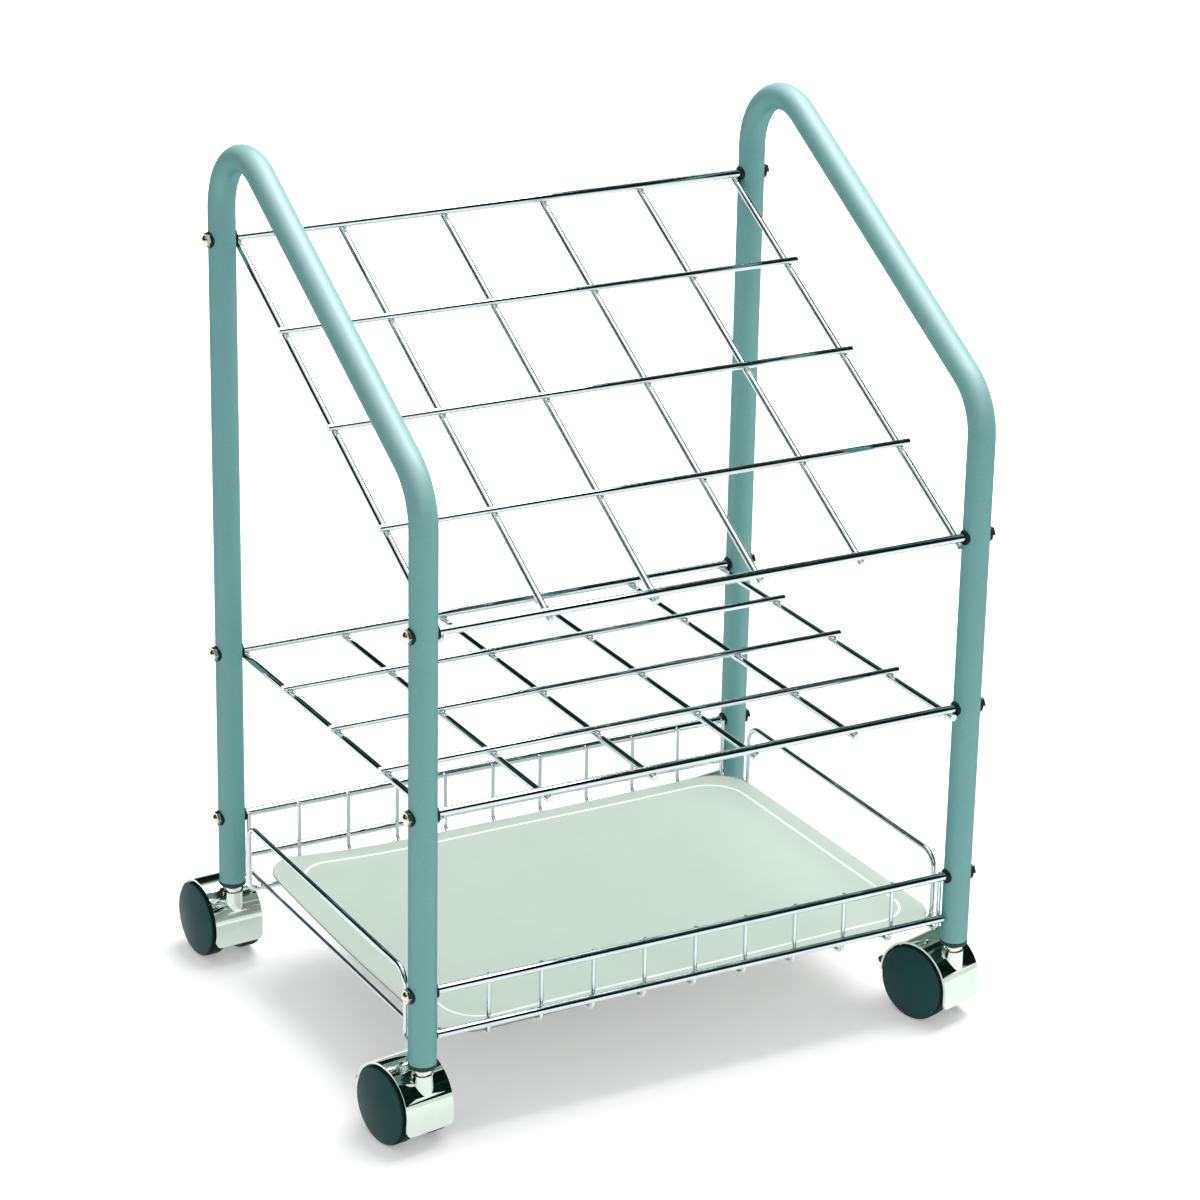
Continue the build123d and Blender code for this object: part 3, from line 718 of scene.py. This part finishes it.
tread_depth, tread_slot = 0.8 * MM, 1
wheel_faces = 0
for c in CORNERS:
    axle_middle = middle(f"{c}_caster_axle")
    axle_way = Vector((math.cos(swivel[c]), math.sin(swivel[c]), 0))
    for side, sign in (("left", -1), ("right", 1)):
        node = f"{c}_caster_{side}_wheel"
        low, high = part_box(node)
        wheel_radius = (high.z - low.z) / 2
        wheel = turn_on_lathe(f"{c}_{side}_wheel_body", wheel_profile(wheel_radius / MM), axle_middle,
                              axle_way * sign, wheel_slate, tread_dark_and_painted_shade)
        # The outer ring of faces takes the tread finish: a dark tyre, partly painted shade for the gap
        # under the hood.
        for polygon in wheel.data.polygons:
            from_axle = polygon.center - axle_middle
            if (from_axle - axle_way * from_axle.dot(axle_way)).length > wheel_radius - tread_depth:
                polygon.material_index = tread_slot
        wheel_faces += len(wheel.data.polygons)
        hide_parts(node)
        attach(wheel, f"{c}_{side}_wheel")
print("eight wheels turned,", wheel_faces, "faces")

# %% [markdown]
# ## Stems and their collars
# A caster's stem is a turned pin. Its collar sits between the socket and the
# hood, and its rim is rounded, so it shows a light line, a dark one and a light
# one again. That needs a round profile, so the stems are turned as well.

# %% Turn the stems
stem_radius, stem_chamfer = 4, 0.4
collar_thickness, rim_below_top = 5.2, 3.3
rim_centre_out, rim_reach = 4.3, 2.2
for c in CORNERS:
    low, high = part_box(f"{c}_caster_stem")
    foot, top = low.z / MM, high.z / MM
    collar_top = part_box(f"{c}_stem_socket")[0].z / MM
    rim = arc(collar_top - rim_below_top, rim_centre_out, rim_below_top, rim_reach,
              (125, 110, 90, 75, 60, 45, 30, 15, 0))
    profile = [(foot, 0), (foot, stem_radius - stem_chamfer), (foot + stem_chamfer, stem_radius),
               (collar_top - collar_thickness, stem_radius), *rim, (collar_top, stem_radius),
               (top - stem_chamfer, stem_radius), (top, stem_radius - stem_chamfer), (top, 0)]
    stem = turn_on_lathe(f"{c}_stem_with_collar", profile, Vector((posts[c].x, posts[c].y, 0)),
                         Vector((0, 0, 1)), zinc, sides=48)
    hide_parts(f"{c}_caster_stem")
    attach(stem, "frame")
print("four stems turned")

# %% [markdown]
# ## Softening edges
# No real edge is perfectly sharp, and a polished edge shows it: it catches a
# thin bright line. The hoods, nuts, pedals and sockets keep their CAD
# shape. A copy is merged, so that its faces join, and a bevel modifier rounds
# the edges that are sharp.

# %% Helper for soft edges
sharp_edge, flat_enough, merge_distance = math.radians(32), math.radians(1), 0.002 * MM


def soften(node, name, bevel_width, finish, body, segments=3):
    """A copy of a CAD node with rounded edges, which stands for it."""
    shape = bmesh.new()
    shape.from_mesh(nodes[node].data)
    bmesh.ops.remove_doubles(shape, verts=shape.verts, dist=merge_distance)
    bmesh.ops.dissolve_limit(shape, angle_limit=flat_enough, verts=shape.verts, edges=shape.edges)
    piece = keep_shape(shape, name, finish, sharp_angle=sharp_edge)
    bevel = piece.modifiers.new("soft_edges", "BEVEL")
    bevel.width, bevel.segments, bevel.harden_normals = bevel_width, segments, True
    bevel.limit_method, bevel.angle_limit = "ANGLE", sharp_edge
    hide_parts(node)
    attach(piece, body)


print("helper for soft edges ready")

# %% Soften the casters, the nuts and the pedals
hood_width, socket_width, pedal_width, nut_width = 0.7 * MM, 0.5 * MM, 0.6 * MM, 0.2 * MM
for c in CORNERS:
    soften(f"{c}_caster_hood", f"{c}_hood_shell", hood_width, hood_chrome, f"{c}_caster")
    soften(f"{c}_stem_socket", f"{c}_socket_body", socket_width, socket_slate, "frame")
for c in ("front_left", "front_right"):
    soften(f"{c}_brake_pedal", f"{c}_pedal_body", pedal_width, pedal_black, f"{c}_brake")
soften("acorn_nuts", "cap_nuts", nut_width, nickel, "frame", segments=2)
print("edges softened")

# %% [markdown]
# ## Floor and light
# The photograph was taken on a white sweep. The floor is pale and takes the
# cart's shadow, and where only the camera looks at it, a little glow lifts it
# to white. Chrome sees the floor more evenly lit, as it would with paper round
# the cart. The light is a large soft panel overhead on the right, a small one
# in front, and an even surrounding.

# %% Floor
floor_reach = 30
floor_corners = [(x * floor_reach, y * floor_reach, 0) for x, y in ((-1, -1), (1, -1), (1, 1), (-1, 1))]
floor = add_object("floor", bare_mesh("floor", floor_corners, faces=[(0, 1, 2, 3)]))
floor_paint, floor_shader = new_finish("floor_paint", Roughness=0.9, Specular_IOR_Level=0.1,
                                       Emission_Color=(1, 1, 1, 1))
speckle = object_noise(floor_paint, scale=3, detail=2)
seen = add_node(floor_paint, "ShaderNodeLightPath").outputs
paper = shade_between(floor_paint, speckle, (0.825, 0.79, 0.8), (0.845, 0.81, 0.82))
evened = between(floor_paint, seen["Is Glossy Ray"], 1.0, 0.55)
link(floor_paint, scaled(floor_paint, paper, evened), floor_shader, "Base Color")
away = add_node(floor_paint, "ShaderNodeVectorMath", {0: coordinates(floor_paint)},
                operation="LENGTH").outputs["Value"]
glow = between(floor_paint, away, 0.28, 0.9, start=0.45, end=1.5)
to_camera = maths(floor_paint, "MULTIPLY", seen["Is Camera Ray"], glow)
to_chrome = maths(floor_paint, "MULTIPLY", seen["Is Glossy Ray"], 0.63)
link(floor_paint, maths(floor_paint, "ADD", to_camera, to_chrome), floor_shader, "Emission Strength")
floor.data.materials.append(floor_paint)
print("floor laid")

# %% Lamps
def panel(name, place, target, width, height, power):
    """A soft rectangular lamp at a place, turned to its target; in metres and watts."""
    lamp = bpy.data.lights.new(name, "AREA")
    lamp.shape = "RECTANGLE"
    lamp.size, lamp.size_y = width, height
    lamp.energy = power
    holder = add_object(name, lamp)
    holder.location = place
    holder.rotation_euler = (Vector(target) - Vector(place)).to_track_quat("-Z", "Y").to_euler()


panel("overhead_panel", (1.1, 0.45, 2.9), (0, 0, 0.2), width=2.5, height=2.0, power=111)
panel("front_panel", (-0.7, -2.9, 2.0), (0, 0, 0.3), width=1.4, height=1.2, power=17)
print("two lamps hung")

# %% [markdown]
# The surroundings light the cart with a plain, slightly cool tone. Where the
# camera or chrome looks at them, or something is seen through, they are white.

# %% Surroundings
world = bpy.data.worlds.new("surroundings")
bpy.context.scene.world = world
world.use_nodes = True
world.node_tree.nodes.clear()
seen = add_node(world, "ShaderNodeLightPath").outputs
camera_or_glossy = maths(world, "MAXIMUM", seen["Is Camera Ray"], seen["Is Glossy Ray"])
looked_at = maths(world, "MAXIMUM", camera_or_glossy, seen["Is Transmission Ray"])
plain = add_node(world, "ShaderNodeBackground", {"Color": (0.9, 0.96, 0.95, 1), "Strength": 0.6})
white = add_node(world, "ShaderNodeBackground", {"Color": (1, 1, 1, 1), "Strength": 1})
mixed = add_node(world, "ShaderNodeMixShader",
                 {"Fac": looked_at, 1: plain.outputs[0], 2: white.outputs[0]})
add_node(world, "ShaderNodeOutputWorld", {"Surface": mixed.outputs[0]})
print("surroundings ready")

# %% [markdown]
# ## Flags for the chrome
# Chrome has no look of its own: it shows the room. In a studio the room behind
# the camera is dark, and that is what draws the dark lines along each wire and
# the dark bands on the hoods. Here curved dark screens stand on the camera's
# side, on the left and behind the cart, above the edge of the white sweep. The
# one behind it on the right is a lighter sage. A flat dark canopy hangs to the
# right, so the wires grow darker towards it. Only reflections can see them, so
# they take no light from the cart.

# %% Cloth for the screens
def screen_cloth(name, low_tone, high_tone):
    """A cloth that gives off its own faint tone, lighter in patches and towards its top."""
    cloth, shader = new_finish(name, Roughness=1.0, Specular_IOR_Level=0.0, Base_Color=(0, 0, 0, 1),
                               Emission_Strength=1)
    folds = object_noise(cloth, scale=1.5, detail=2)
    rising = between(cloth, upward(cloth, "Object"), 0.0, 1.0, start=2.0, end=4.4)
    patches = between(cloth, folds, 0.0, 0.25, start=0.5, end=0.7)
    lighter = maths(cloth, "MAXIMUM", maths(cloth, "MULTIPLY", folds, rising), patches)
    link(cloth, shade_between(cloth, lighter, low_tone, high_tone), shader, "Emission Color")
    return cloth


dark_cloth = screen_cloth("dark_cloth", (0.002, 0.009, 0.007), (0.04, 0.1, 0.08))
sage_cloth = screen_cloth("sage_cloth", (0.12, 0.21, 0.16), (0.5, 0.62, 0.54))
print("two cloths made")

# %% Put up the screens
def show_to_chrome_only(mesh, cloth):
    mesh.materials.append(cloth)
    flag = add_object(mesh.name, mesh)
    flag.visible_camera = flag.visible_diffuse = flag.visible_shadow = flag.visible_transmission = False


def screen(name, cloth, radius, from_azimuth, to_azimuth, low_angle, high_angle, columns=24, rows=8):
    """Part of a sphere round the cart; azimuth 0 is in front of it and 90 on its right."""
    centre_height = 0.2
    points, faces = [], []
    for i in range(columns + 1):
        turn = math.radians(from_azimuth + (to_azimuth - from_azimuth) * i / columns)
        for j in range(rows + 1):
            rise = math.radians(low_angle + (high_angle - low_angle) * j / rows)
            out = radius * math.cos(rise)
            points.append((out * math.sin(turn), -out * math.cos(turn),
                           radius * math.sin(rise) + centre_height))
    for i in range(columns):
        for j in range(rows):
            k = i * (rows + 1) + j
            faces.append((k, k + 1, k + rows + 2, k + rows + 1))
    show_to_chrome_only(bare_mesh(name, points, faces=faces), cloth)


far, nearer = 4.5, 4.4
screen("front_screen", dark_cloth, far, from_azimuth=-128, to_azimuth=112, low_angle=5, high_angle=42)
screen("left_screen", dark_cloth, nearer, from_azimuth=-152, to_azimuth=-94, low_angle=1, high_angle=56)
screen("rear_screen", dark_cloth, far, from_azimuth=156, to_azimuth=232, low_angle=4, high_angle=44)
screen("rear_right_screen", sage_cloth, far, from_azimuth=112, to_azimuth=156, low_angle=4, high_angle=44)
canopy_left, canopy_right, canopy_front, canopy_rear, canopy_height = 0.58, 3.2, -2.5, 0.9, 1.6
canopy_corners = [(canopy_left, canopy_front, canopy_height), (canopy_right, canopy_front, canopy_height),
                  (canopy_right, canopy_rear, canopy_height), (canopy_left, canopy_rear, canopy_height)]
show_to_chrome_only(bare_mesh("right_canopy", canopy_corners, faces=[(0, 1, 2, 3)]), dark_cloth)
print("four screens and a canopy up")
